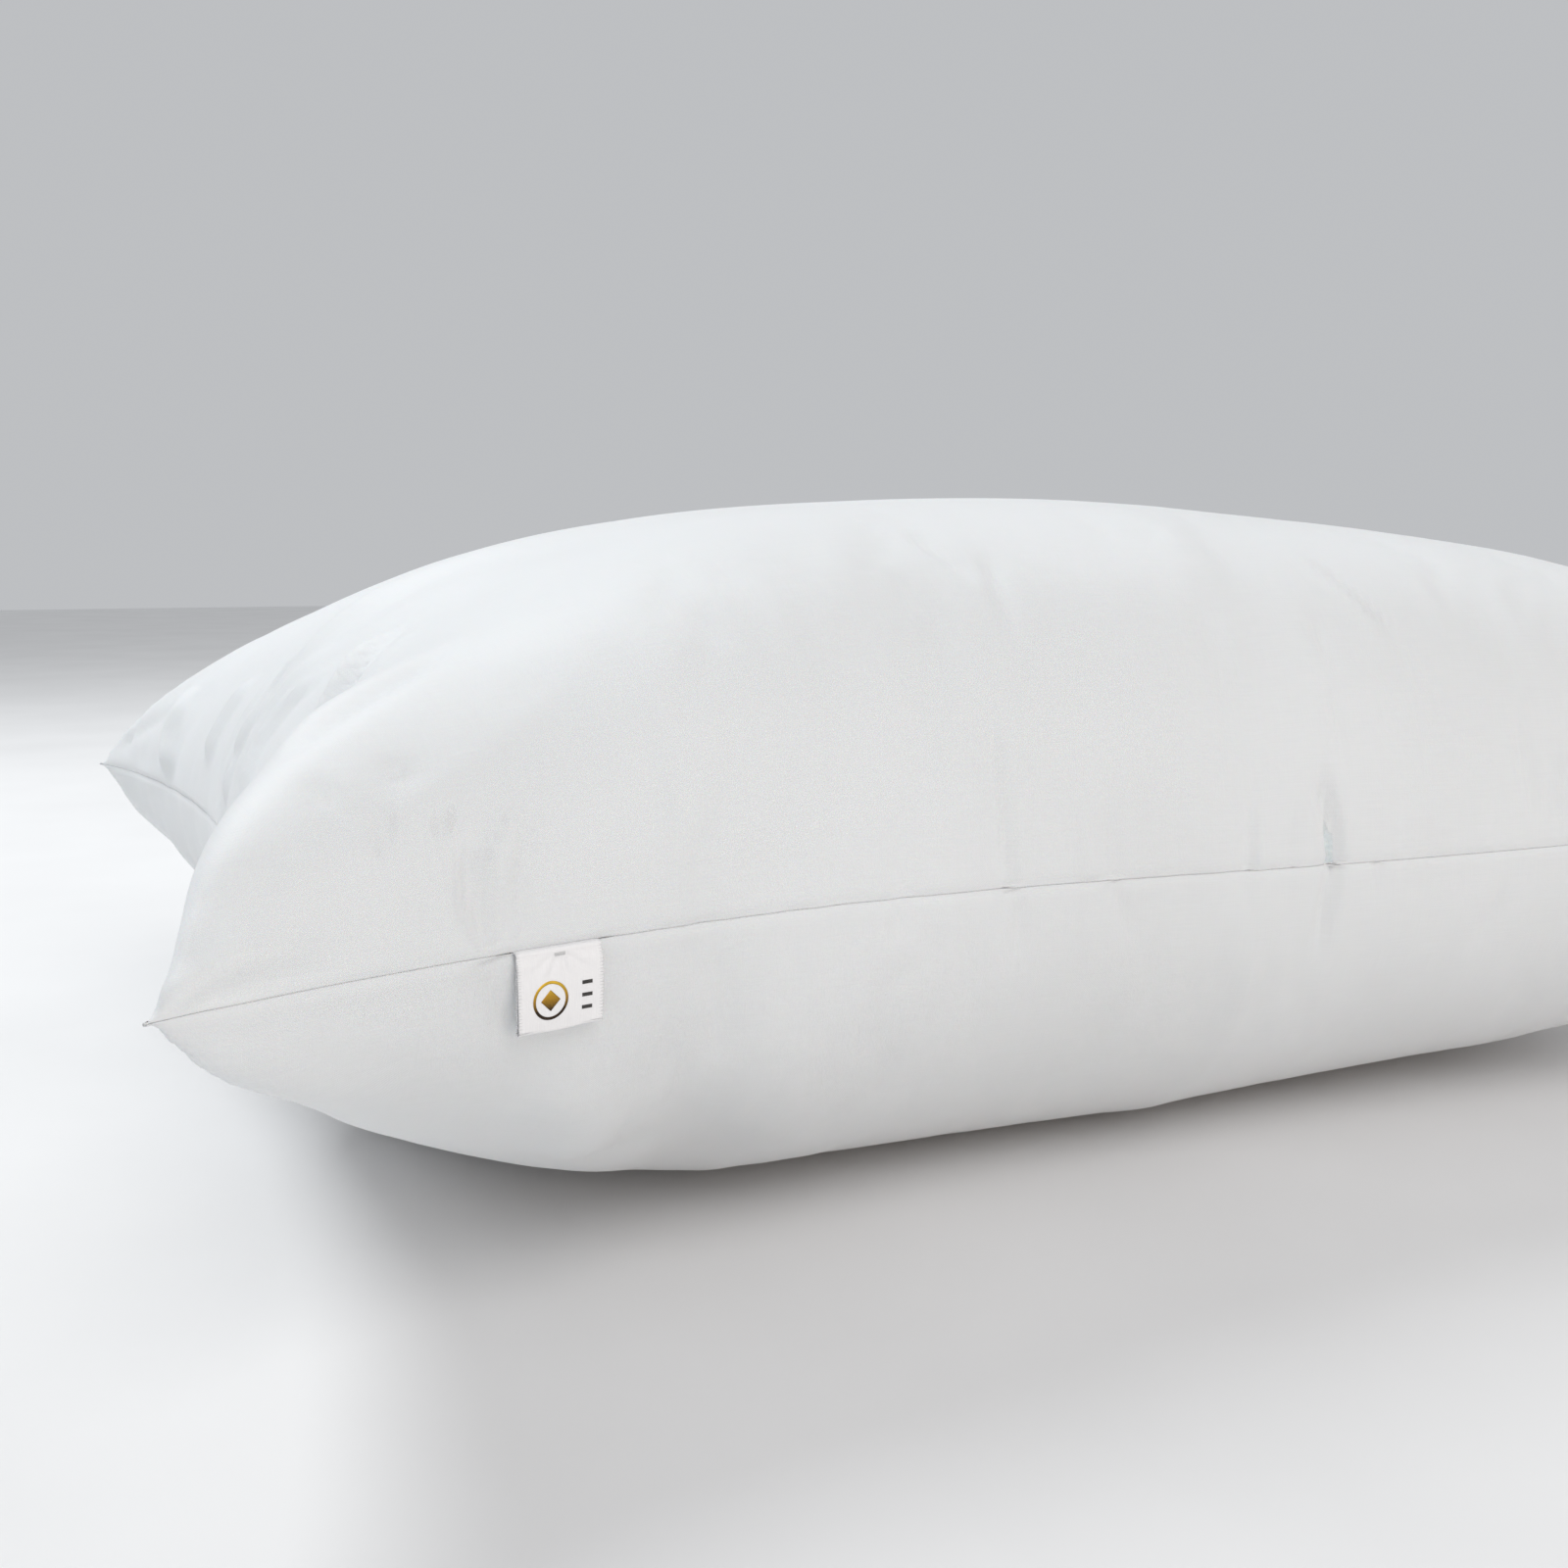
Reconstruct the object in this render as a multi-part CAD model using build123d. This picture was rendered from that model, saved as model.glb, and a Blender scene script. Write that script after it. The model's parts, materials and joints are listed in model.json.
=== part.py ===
from build123d import *
import math
import os

# A stuffed bed pillow: two cloth panels seamed round their edge, a fibre filling,
# the seam's threads, and a folded satin ribbon label that hangs from one long side.
# Millimetres. Origin at the middle of the bed face, X along the pillow, +Z up.

# ---- the stuffed pillow ----
corner_x = 352.0          # from the middle to a corner, along the length
corner_y = 236.0          # from the middle to a corner, across
long_side_pull = 57.0     # how far the stuffing draws the middle of a long side in
short_side_pull = 36.0    # the same for a short side
seam_z = 116.0            # height of the edge seam above the bed
crown_height = 122.0      # from the seam up to the top of the crown
belly_depth = 124.0       # from the seam down, before the bed presses the belly flat
edge_spread = 0.5         # where the side curves' middle handles stand, as a share of a corner
crown_share = 0.62        # lower gives a fuller, flatter-topped bulge

# ---- cloth and seam ----
cloth = 0.8               # panel thickness, heavier than the real weave
corner_tuck = 7.0         # the inner face stops this far short of a corner
corner_share = 1.87       # a corner moves in by this many times an inset
ply_gap = 0.4             # slot between the two panels' turned-in edges
allowance = 10.0          # turned-in seam allowance
thread = 0.5              # sewing thread
seam_thread_inset = 1.0   # the lockstitch line, from the edge
overlock_width = 2.5      # overlock bite on the raw edges
overlock_thread = 0.3

# ---- filling ----
fill_gap = 0.5            # fibre to cloth
fill_corner_tuck = 20.0   # the filling stops this far short of a corner
bed_block = 1000.0        # size of the block that stands for the bed

# ---- closing seam, in the middle of the right short side ----
closing_start = 0.33      # shares of the side's length
closing_end = 0.67
lip_width = 3.0
stitch_pitch = 3.2
stitch_length = 2.3
stitch_inset = 1.2        # from the lip's outer edge
closing_margin = 0.03     # share of the side left unstitched at each end of the lip
lip_rise = (0.0, 0.85, 1.0, 1.0, 1.0, 1.0, 1.0, 0.85, 0.0)   # lip width along its length

# ---- ribbon label on the near long side ----
label_share = 0.148       # of the side's length, from the left corner
label_width = 25.0
label_drop = 22.0
ribbon = 0.2
label_loop = 0.9          # outer radius of the bottom fold
label_tail = 9.0          # ribbon sewn into the seam
tail_start = 0.5          # the sewn-in ribbon starts this far inside the turning line
ply_clearance = 0.02      # half the gap between the ribbon's two plies at the top
hinge_reach = 1.2         # the flap turns this far outside the seam edge
hinge_gap = 0.5           # between the turning line and the flap's top edge
label_lean = 4.0          # degrees, towards the pillow
foil = 0.1
stencil_depth = 4.0       # long enough to pass through the whole flap
emblem_radius = 5.2
emblem_line = 0.8
gem_side = 4.2            # the square inside the ring, stood on its corner
emblem_height = 13.6      # its centre, below the turning line
emblem_offset = -3.0      # along the label
bar_length = 3.0
bar_width = 1.0
bar_pitch = 3.4
bar_offset = 7.8
tack_length = 3.0
tack_height = 1.0
tack_depth = 1.6          # through both plies, from the middle of the flap
tack_thread = 0.3


def side_net(inset, corner_inset):
    """Corner, long-side handle and short-side handle of one quarter of the plan."""
    corner = (corner_x - corner_inset, corner_y - corner_inset)
    middle_y = corner_y - long_side_pull - inset
    middle_x = corner_x - short_side_pull - inset
    long_handle = (edge_spread * corner[0], (4 * middle_y - corner[1]) / 3)
    short_handle = ((4 * middle_x - corner[0]) / 3, edge_spread * corner[1])
    return corner, long_handle, short_handle


def dome(inset, corner_inset, height):
    """Solid between z = 0 and a bulging quartic skin that crowns at height."""
    corner, long_handle, short_handle = side_net(inset, corner_inset)
    long_point = [0.25 * c + 0.75 * h for c, h in zip(corner, long_handle)]
    short_point = [0.25 * c + 0.75 * h for c, h in zip(corner, short_handle)]
    bulge_x = (corner[0] - long_point[0]) / 7      # keeps the skin upright at mid-side
    bulge_y = (corner[1] - short_point[1]) / 7
    peak = height / (0.5 + 0.375 * crown_share) ** 2
    quarter = {
        (2, 2): (corner[0], corner[1], 0),
        (1, 2): (long_point[0], long_point[1], 0),
        (0, 2): (0, long_handle[1], 0),
        (2, 1): (short_point[0], short_point[1], 0),
        (2, 0): (short_handle[0], 0, 0),
        (1, 1): (short_point[0] + bulge_x, long_point[1] + bulge_y, peak),
        (0, 1): (0, long_handle[1] + bulge_y, peak * crown_share),
        (1, 0): (short_handle[0] + bulge_x, 0, peak * crown_share),
        (0, 0): (0, 0, peak * crown_share ** 2),
    }
    net = []
    for row in range(-2, 3):
        net.append([])
        for column in range(-2, 3):
            x, y, z = quarter[abs(column), abs(row)]
            net[-1].append((math.copysign(x, column), math.copysign(y, row), z))
    skin = Face.make_bezier_surface(net)
    base = Face(Wire(skin.edges()))
    return Solid(Shell([skin, base]))


def side_curves(inset, z):
    """The four concave sides of the plan, drawn in by inset: near, right, far, left."""
    corner, long_handle, short_handle = side_net(inset, inset * corner_share)
    cx, cy = corner
    lx, ly = long_handle
    sx, sy = short_handle
    near = Edge.make_bezier((-cx, -cy, z), (-lx, -ly, z), (lx, -ly, z), (cx, -cy, z))
    right = Edge.make_bezier((cx, -cy, z), (sx, -sy, z), (sx, sy, z), (cx, cy, z))
    far = Edge.make_bezier((cx, cy, z), (lx, ly, z), (-lx, ly, z), (-cx, cy, z))
    left = Edge.make_bezier((-cx, cy, z), (-sx, sy, z), (-sx, -sy, z), (-cx, -cy, z))
    return near, right, far, left


def plan_plate(inset, low_z, high_z):
    """The plan, drawn in by inset all round, as a plate from low_z to high_z."""
    outline = Wire(side_curves(inset, low_z))
    return extrude(Face(outline), amount=high_z - low_z, dir=(0, 0, 1))


def seam_ring(outer_inset, inner_inset, low_z, high_z):
    """A flat ring that follows the seam, between two insets."""
    return plan_plate(outer_inset, low_z, high_z) - plan_plate(inner_inset, low_z, high_z)


def closing_lip(thickness):
    """The pinched lip where the filling opening was sewn shut."""
    side = side_curves(0, 0)[1]
    step = (closing_end - closing_start) / (len(lip_rise) - 1)
    outer = []
    for k, share in enumerate(lip_rise):
        outer.append(side @ (closing_start + k * step) + Vector(lip_width * share, 0, 0))
    back = Vector(-allowance / 2, 0, 0)
    outline = [
        Spline(*outer),
        Line(outer[-1], outer[-1] + back),
        Line(outer[-1] + back, outer[0] + back),
        Line(outer[0] + back, outer[0]),
    ]
    return extrude(make_face(outline), amount=thickness, dir=(0, 0, 1))


def panel(height):
    """A cloth panel above z = 0: the turned-in allowance, the bulging skin, half the lip."""
    hem = seam_ring(0, allowance, 0, cloth)
    rise = height - cloth
    skin = dome(0, 0, rise) - dome(cloth, corner_tuck, rise - cloth)
    return Pos(0, 0, cloth) * skin + hem + closing_lip(cloth)


def under_seam(shape, gap):
    """Turn a shape drawn above z = 0 upside down and hang it under the seam."""
    return Pos(0, 0, seam_z - gap) * mirror(shape, Plane.XY)


def above_seam(shape, gap):
    return Pos(0, 0, seam_z + gap) * shape


def top_panel():
    half_slot = ply_gap / 2
    return above_seam(panel(crown_height - half_slot), half_slot)


def bottom_panel():
    """The lower panel, pressed flat where it rests on the bed."""
    half_slot = ply_gap / 2
    depth = belly_depth - half_slot
    below_bed = Pos(0, 0, -bed_block / 2) * Box(bed_block, bed_block, bed_block)
    rest_layer = Pos(0, 0, cloth / 2) * Box(bed_block, bed_block, cloth)
    inside = under_seam(dome(cloth, corner_tuck, depth - 2 * cloth), half_slot + cloth)
    return under_seam(panel(depth), half_slot) - below_bed + (inside & rest_layer)


def fibre_fill():
    """The filling: a crown and a flat-bottomed belly, grooved round the seam allowance."""
    room = cloth + fill_gap
    half_groove = ply_gap / 2 + cloth + overlock_thread + fill_gap
    waist = plan_plate(allowance + overlock_thread + fill_gap, seam_z - half_groove,
                       seam_z + half_groove)
    crown = dome(room, fill_corner_tuck, crown_height - half_groove - room)
    belly = dome(room, fill_corner_tuck, belly_depth - half_groove - room)
    below_floor = Pos(0, 0, room - bed_block / 2) * Box(bed_block, bed_block, bed_block)
    upper = above_seam(crown, half_groove)
    lower = under_seam(belly, half_groove) - below_floor
    return upper + waist + lower


def perimeter_seam_thread(tail):
    """The lockstitch line between the two turned-in edges, open at the label's tail."""
    low = seam_z - ply_gap / 2
    return seam_ring(seam_thread_inset, seam_thread_inset + thread, low, low + ply_gap) - tail


def overlock():
    """Overlock thread wrapped round the raw edges of the seam allowance."""
    half = ply_gap / 2 + cloth
    start = allowance - overlock_width
    wrap = seam_ring(start, allowance + overlock_thread,
                     seam_z - half - overlock_thread, seam_z + half + overlock_thread)
    plies = seam_ring(start - overlock_width, allowance, seam_z - half, seam_z + half)
    return wrap - plies


def closing_stitches():
    """A straight row of short stitches on both faces of the closing lip."""
    side = side_curves(0, seam_z)[1]
    run = (closing_end - closing_start - 2 * closing_margin) * side.length
    count = int(run / stitch_pitch) + 1
    first = 0.5 - (count - 1) * stitch_pitch / side.length / 2
    face = ply_gap / 2 + cloth
    row = []
    for k in range(count):
        share = first + k * stitch_pitch / side.length
        where = side @ share + Vector(lip_width - stitch_inset, 0, 0)
        along = side % share
        turn = math.degrees(math.atan2(along.Y, along.X))
        for z in (face + thread / 2, -face - thread / 2):
            stitch = Box(stitch_length, thread, thread)
            row.append(Pos(where.X, where.Y, seam_z + z) * Rot(0, 0, turn) * stitch)
    return Compound(children=row)


def label_frame():
    """Turning line of the label: X along the seam, Y towards the pillow, Z up."""
    near = side_curves(0, seam_z)[0]
    along = near % label_share
    inward = Vector(-along.Y, along.X, 0)
    origin = near @ label_share - inward * hinge_reach
    return Plane(origin=origin, x_dir=along, z_dir=(0, 0, 1))


def hairpin(loop_radius, top_half):
    """Side view of the folded ribbon, from just under the turning line to its fold."""
    top = -hinge_gap
    low = -label_drop + label_loop
    outline = [
        Line((top_half, top), (loop_radius, low)),
        ThreePointArc((loop_radius, low), (0, low - loop_radius), (-loop_radius, low)),
        Line((-loop_radius, low), (-top_half, top)),
        Line((-top_half, top), (top_half, top)),
    ]
    side = make_face([Plane.YZ * edge for edge in outline])
    return extrude(side, amount=label_width / 2, both=True, dir=(1, 0, 0))


def on_label(shape):
    """Lean a shape drawn on the turning line towards the pillow and put it in place."""
    return label_frame().location * Rot(label_lean, 0, 0) * shape


def label_ribbon():
    outer = hairpin(label_loop, ribbon + ply_clearance)
    return on_label(outer - hairpin(label_loop - ribbon, ply_clearance))


def foil_on_front(stencil):
    """Printed foil: the part of a thin skin over the front ply that a stencil covers."""
    ply = ribbon + ply_clearance
    skin = hairpin(label_loop + foil, ply + foil) - hairpin(label_loop, ply)
    return on_label(skin & stencil)


def front_plate(sketch):
    """A flat sketch (label X, height) pushed through the front ply."""
    return extrude(Plane.XZ * sketch, amount=stencil_depth, dir=(0, -1, 0))


def label_emblem():
    """A plain foil ring round a small diamond."""
    ring = Circle(emblem_radius) - Circle(emblem_radius - emblem_line)
    gem = Rot(0, 0, 45) * Rectangle(gem_side, gem_side)
    mark = Pos(emblem_offset, -emblem_height) * (ring + gem)
    return foil_on_front(front_plate(mark))


def label_bars():
    """Three short foil bars beside the ring."""
    bars = Sketch()
    for k in (-1, 0, 1):
        bars += Pos(bar_offset, -emblem_height + k * bar_pitch) * Rectangle(bar_length, bar_width)
    return foil_on_front(front_plate(bars))


def label_tack():
    """A bar tack that catches the ribbon's two plies under the seam."""
    front = (Align.CENTER, Align.MAX, Align.MAX)
    stitch = Pos(0, 0, -hinge_gap) * Box(tack_length, tack_depth, tack_height, align=front)
    ply = ribbon + ply_clearance
    reach = hairpin(label_loop + tack_thread, ply + tack_thread)
    return on_label((stitch & reach) - hairpin(label_loop, ply))


def label_seam_tail():
    """The ribbon's two ends, pressed together and sewn in between the panels' edges."""
    tail = Box(label_width, label_tail, ply_gap, align=(Align.CENTER, Align.MIN, Align.CENTER))
    return label_frame().location * Pos(0, tail_start, 0) * tail


def main():
    os.makedirs("parts", exist_ok=True)
    tail = label_seam_tail()
    nodes = {
        "top_panel": top_panel(),
        "bottom_panel": bottom_panel(),
        "fibre_fill": fibre_fill(),
        "perimeter_seam_thread": perimeter_seam_thread(tail),
        "overlock_thread": overlock(),
        "closing_seam_thread": closing_stitches(),
        "label_seam_tail": tail,
        "label_ribbon": label_ribbon(),
        "label_emblem": label_emblem(),
        "label_bars": label_bars(),
        "label_tack_thread": label_tack(),
    }
    for name, shape in nodes.items():
        export_step(shape, f"parts/{name}.step")
        box = shape.bounding_box()
        print(name, len(shape.solids()), "solids", round(shape.volume, 2), "mm3",
              [round(v, 2) for v in (*box.min, *box.max)])
    line = label_frame()
    print("label turning line", line.origin, line.x_dir)


main()
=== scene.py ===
import json
import math

import bpy
import numpy as np
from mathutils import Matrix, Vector


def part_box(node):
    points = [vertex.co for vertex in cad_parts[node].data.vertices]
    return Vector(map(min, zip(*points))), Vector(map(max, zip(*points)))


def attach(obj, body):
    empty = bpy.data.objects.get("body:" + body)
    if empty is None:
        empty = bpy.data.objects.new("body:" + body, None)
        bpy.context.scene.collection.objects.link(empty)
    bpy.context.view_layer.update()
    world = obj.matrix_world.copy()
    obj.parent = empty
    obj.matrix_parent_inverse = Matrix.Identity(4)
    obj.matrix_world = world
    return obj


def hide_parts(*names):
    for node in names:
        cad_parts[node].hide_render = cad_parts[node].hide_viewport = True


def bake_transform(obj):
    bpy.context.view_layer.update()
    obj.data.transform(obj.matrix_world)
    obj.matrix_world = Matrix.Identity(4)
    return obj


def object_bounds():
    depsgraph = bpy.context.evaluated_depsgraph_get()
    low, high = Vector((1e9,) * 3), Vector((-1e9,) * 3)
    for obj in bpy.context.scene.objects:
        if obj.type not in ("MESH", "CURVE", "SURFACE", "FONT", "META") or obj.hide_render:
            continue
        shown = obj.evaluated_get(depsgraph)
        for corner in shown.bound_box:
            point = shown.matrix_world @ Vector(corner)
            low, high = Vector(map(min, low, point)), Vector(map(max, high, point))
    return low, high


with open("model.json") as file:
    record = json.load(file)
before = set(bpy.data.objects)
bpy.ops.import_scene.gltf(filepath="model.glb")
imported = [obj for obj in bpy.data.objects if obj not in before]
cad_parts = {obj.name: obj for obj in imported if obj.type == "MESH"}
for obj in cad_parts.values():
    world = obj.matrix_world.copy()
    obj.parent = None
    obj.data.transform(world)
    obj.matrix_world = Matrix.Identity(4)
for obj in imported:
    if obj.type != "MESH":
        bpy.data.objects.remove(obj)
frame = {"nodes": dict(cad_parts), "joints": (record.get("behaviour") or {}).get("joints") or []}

# A stuffed bed pillow in metres. The envelope is sewn flat from two cut panels and blown up
# by a cloth simulation, then laid over the frame, creased, hemmed and stitched in code.

cad_low, cad_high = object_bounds()
seam_low, seam_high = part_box("perimeter_seam_thread")
seam_z = (seam_low.z + seam_high.z) / 2
corner_x = cad_high.x
corner_y = cad_high.y

# ---- sizes of the cut and the sewing ----
cut_length = 0.750
cut_width = 0.500
allowance = 0.010
cloth = 0.00035
tail_gap = seam_high.z - seam_low.z      # between the panels where the ribbon's tail goes in
shut_gap = 0.00012                       # and everywhere else
groove_depth = 0.0007
groove_width = 0.0015
groove_fade = 0.03                       # the groove runs out towards a corner
stitch_pitch = 0.003
overlock_pitch = 0.004
thread_radius = 0.00011
lip_width = 0.003
lip_half = 0.00095
lip_reach = 0.045
closing_pitch = 0.0032
thread_inset = 0.00125                   # from the frame's seam thread out to the seam line
stitch_inset = 0.0010                    # of the lock stitches, inside the seam line
stitch_room = 0.0022                     # they need this much allowance

# ---- cloth simulation ----
sim_cell = cut_length / 90
sim_frames = 24
sim_pressure = 10.0
sim_mass = 0.008
raw_share = 0.25                         # of the simulation's own ripples that stay
calm_rounds = 12
even_rounds = 20
length_step = 0.0026
width_step = 0.0038

# ---- how the filling lies ----
left_slope = 0.20
left_reach = 0.17
right_slope = 0.15
right_reach = 0.32
flank_fullness = 0.65
seam_sag = 0.006
sag_start = 0.16
sag_reach = 0.07
level_reach = 0.07
puckers_per_metre = 190
pucker_seed = 21
fibre_inset = 0.016
fibre_seed = 5


def new_object(name, data):
    thing = bpy.data.objects.new(name, data)
    bpy.context.scene.collection.objects.link(thing)
    return thing


def flat_square(name, half):
    """A level square at height 0."""
    corners = [(-half, -half, 0), (half, -half, 0), (half, half, 0), (-half, half, 0)]
    mesh = bpy.data.meshes.new(name)
    mesh.from_pydata(corners, [], [(0, 1, 2, 3)])
    return new_object(name, mesh)


# ---- the blown-up envelope ----

def sim_index(columns, rows):
    """Vertex numbers of two grids that share their outer edge: top first, then bottom."""
    top = np.arange((columns + 1) * (rows + 1)).reshape(columns + 1, rows + 1)
    bottom = top.copy()
    inner = (columns - 1) * (rows - 1)
    bottom[1:-1, 1:-1] = top.size + np.arange(inner).reshape(columns - 1, rows - 1)
    return top, bottom


def grid_quads(index):
    """Four-cornered faces over a grid of vertex numbers."""
    a, b = index[:-1, :-1], index[1:, :-1]
    c, d = index[1:, 1:], index[:-1, 1:]
    return np.stack([a, b, c, d], -1).reshape(-1, 4)


def flat_envelope(columns, rows):
    """The two cut panels laid on each other, barely open so that the pressure has a side."""
    x = np.linspace(-0.5, 0.5, columns + 1)
    y = np.linspace(-0.5, 0.5, rows + 1)
    gx, gy = np.meshgrid(x, y, indexing="ij")
    lift = 0.001 + 0.012 * np.cos(gx * math.pi) * np.cos(gy * math.pi)
    lift[[0, -1], :] = 0
    lift[:, [0, -1]] = 0
    sheets = [np.stack([gx * cut_length, gy * cut_width, 0.12 + side * lift], -1) for side in (1, -1)]
    return np.concatenate([sheets[0].reshape(-1, 3), sheets[1][1:-1, 1:-1].reshape(-1, 3)])


def add_cloth(envelope):
    stuffing = envelope.modifiers.new("stuffing", "CLOTH")
    values = {
        "quality": 5, "mass": sim_mass, "air_damping": 2.0,
        "tension_stiffness": 15, "compression_stiffness": 4, "shear_stiffness": 2, "bending_stiffness": 0.1,
        "tension_damping": 5, "compression_damping": 5, "shear_damping": 5, "bending_damping": 0.5,
        "use_pressure": True, "uniform_pressure_force": sim_pressure,
    }
    for key, value in values.items():
        setattr(stuffing.settings, key, value)
    stuffing.settings.effector_weights.gravity = 0.5
    stuffing.collision_settings.use_collision = True
    stuffing.collision_settings.distance_min = 0.003
    stuffing.collision_settings.use_self_collision = False
    stuffing.point_cache.frame_end = sim_frames


def blow_up():
    """The stuffed envelope's top and bottom grids, as the simulation leaves them."""
    columns = round(cut_length / sim_cell)
    rows = round(cut_width / sim_cell)
    top, bottom = sim_index(columns, rows)
    quads = np.concatenate([grid_quads(top), grid_quads(bottom)[:, ::-1]])
    mesh = bpy.data.meshes.new("envelope")
    mesh.from_pydata(flat_envelope(columns, rows).tolist(), [], quads.tolist())
    envelope = new_object("envelope", mesh)
    bed = flat_square("bed", 2)
    bed.modifiers.new("bed", "COLLISION")
    bed.collision.thickness_outer = 0.002
    bed.collision.cloth_friction = 20
    add_cloth(envelope)
    scene = bpy.context.scene
    scene.frame_start, scene.frame_end = 1, sim_frames
    for number in range(1, sim_frames + 1):
        scene.frame_set(number)
    settled = envelope.evaluated_get(bpy.context.evaluated_depsgraph_get()).to_mesh()
    points = np.empty(len(settled.vertices) * 3, np.float32)
    settled.vertices.foreach_get("co", points)
    points = points.reshape(-1, 3).astype(float)
    envelope.evaluated_get(bpy.context.evaluated_depsgraph_get()).to_mesh_clear()
    bpy.data.objects.remove(envelope)
    bpy.data.objects.remove(bed)
    scene.frame_set(1)
    return points[top], points[bottom]


def relax(top, bottom, rounds):
    """Low-pass filter over both panels at once: ripples go, the bulk keeps its size."""
    for step in range(2 * rounds):
        pull = 0.5 if step % 2 == 0 else -0.52
        moved = []
        for here, other in ((top, bottom), (bottom, top)):
            wide = np.pad(here, ((1, 1), (1, 1), (0, 0)), mode="edge")
            wide[0, 1:-1], wide[-1, 1:-1] = other[1], other[-2]
            wide[1:-1, 0], wide[1:-1, -1] = other[:, 1], other[:, -2]
            mean = (wide[:-2, 1:-1] + wide[2:, 1:-1] + wide[1:-1, :-2] + wide[1:-1, 2:]) / 4
            new = here + pull * (mean - here)
            for corner in ((0, 0), (0, -1), (-1, 0), (-1, -1)):
                new[corner] = here[corner]
            moved.append(new)
        top, bottom = moved
    return top, bottom


def evened(grid):
    """A grid averaged with its mirror images, end for end and side for side."""
    ends = grid[::-1] * (-1, 1, 1)
    both = (grid + ends) / 2
    return (both + both[:, ::-1] * (1, -1, 1)) / 2


def seam_side(along, across, reach):
    """An even curve through the frame's seam thread on one side: distance out at a place along it."""
    thread = frame["nodes"]["perimeter_seam_thread"].data.vertices
    points = np.array([v.co for v in thread])
    share_out = -points[:, across] / reach
    share_along = np.abs(points[:, along]) / (corner_x, corner_y)[along]
    side = points[(share_out > share_along) & (share_along < 0.97)]
    powers = np.stack([side[:, along] ** n for n in (0, 2, 4, 6)], 1)
    found = np.linalg.lstsq(powers, -side[:, across], rcond=None)[0]
    return lambda place: thread_inset + sum(c * place ** n for c, n in zip(found, (0, 2, 4, 6)))


def onto_frame(top, bottom):
    """Lay the settled envelope over the CAD pillow: same corners, seam line, top and bed face."""
    low = bottom[..., 2].min()
    rim = top[len(top) // 2, 0, 2] - low
    peak = top[..., 2].max() - low
    near = seam_side(0, 1, corner_y)
    left = seam_side(1, 0, corner_x)
    laid = []
    for grid in (top, bottom):
        grid = grid.copy()
        z = grid[..., 2] - low
        over = seam_z + (z - rim) * (cad_high.z - seam_z) / (peak - rim)
        grid[..., 2] = np.where(z > rim, over, z * seam_z / rim)
        grid[..., 0] *= corner_x / grid[-1, -1, 0]
        grid[..., 1] *= corner_y / grid[-1, -1, 1]
        ends = np.where(np.arange(grid.shape[1]) % (grid.shape[1] - 1) == 0, corner_x,
                        left(grid[-1, :, 1]))
        grid[..., 0] *= (ends / grid[-1, :, 0])[None, :]
        sides = np.where(np.arange(grid.shape[0]) % (grid.shape[0] - 1) == 0, corner_y,
                         near(grid[:, -1, 0]))
        grid[..., 1] *= (sides / grid[:, -1, 1])[:, None]
        laid.append(grid)
    return settle(*level_seam(*laid))


def settle(top, bottom):
    """The filling's own lie: lower shoulders, fuller flanks, a slight sag in the long seams."""
    s = np.linspace(0, cut_length, top.shape[0])[:, None]
    t = np.linspace(0, cut_width, top.shape[1])[None, :]
    left_end = 1 - left_slope * np.exp(-((s / left_reach) ** 2))
    right_end = 1 - right_slope * np.exp(-(((cut_length - s) / right_reach) ** 2))
    flanks = 1 + flank_fullness * (2 * t / cut_width - 1) ** 2
    past_label = np.clip((s - sag_start) / (cut_length - sag_start), 0, 1)
    edge = np.minimum(t, cut_width - t)
    drop = seam_sag * np.sin(math.pi * past_label) ** 2 * np.exp(-((edge / sag_reach) ** 2))
    settled = []
    for grid, share in ((top, left_end * right_end * flanks), (bottom, 1.0)):
        grid = grid.copy()
        grid[..., 2] = seam_z + (grid[..., 2] - seam_z) * share - drop
        settled.append(grid)
    above = settled[0][..., 2] - seam_z
    limit = (cad_high.z - seam_z) / above.max()
    settled[0][..., 2] = np.where(above > 0, seam_z + above * limit, settled[0][..., 2])
    return settled


def level_seam(top, bottom):
    """Bring the whole seam to the frame's seam height, moving less further from it."""
    columns, rows = top.shape[0] - 1, top.shape[1] - 1
    place_s = np.linspace(0, cut_length, columns + 1)[:, None]
    place_t = np.linspace(0, cut_width, rows + 1)[None, :]
    gaps = [place_s + 0 * place_t, cut_length - place_s + 0 * place_t,
            place_t + 0 * place_s, cut_width - place_t + 0 * place_s]
    rims = [top[0, :, 2][None, :], top[-1, :, 2][None, :], top[:, 0, 2][:, None], top[:, -1, 2][:, None]]
    pull = [1 / (gap ** 2 + 1e-9) for gap in gaps]
    total = sum(pull)
    drop = sum(share / total * (seam_z - rim) for share, rim in zip(pull, rims))
    nearest = np.minimum.reduce(gaps)
    drop = drop * np.exp(-((nearest / level_reach) ** 2))
    moved = []
    for grid in (top, bottom):
        grid = grid.copy()
        grid[..., 2] += drop
        moved.append(grid)
    return moved


def graded(length, step, first=0.0004, growth=1.3):
    """Places along a cut edge, crowded towards both seams."""
    places = [0.0]
    gap = first
    while places[-1] + gap < length / 2:
        places.append(places[-1] + gap)
        gap = min(gap * growth, step)
    half = np.array(places)
    return np.unique(np.concatenate([half, [length / 2], length - half]).round(6))


def cubic(rows, places):
    """Catmull-Rom through rows, which carry one extra row at each end, at places in rows."""
    base = np.clip(np.floor(places).astype(int), 0, len(rows) - 4)
    t = (places - base)[:, None, None]
    a, b, c, d = (rows[base + k] for k in range(4))
    return 0.5 * (2 * b + (c - a) * t + (2 * a - 5 * b + 4 * c - d) * t ** 2
                  + (3 * b - a - 3 * c + d) * t ** 3)


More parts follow.
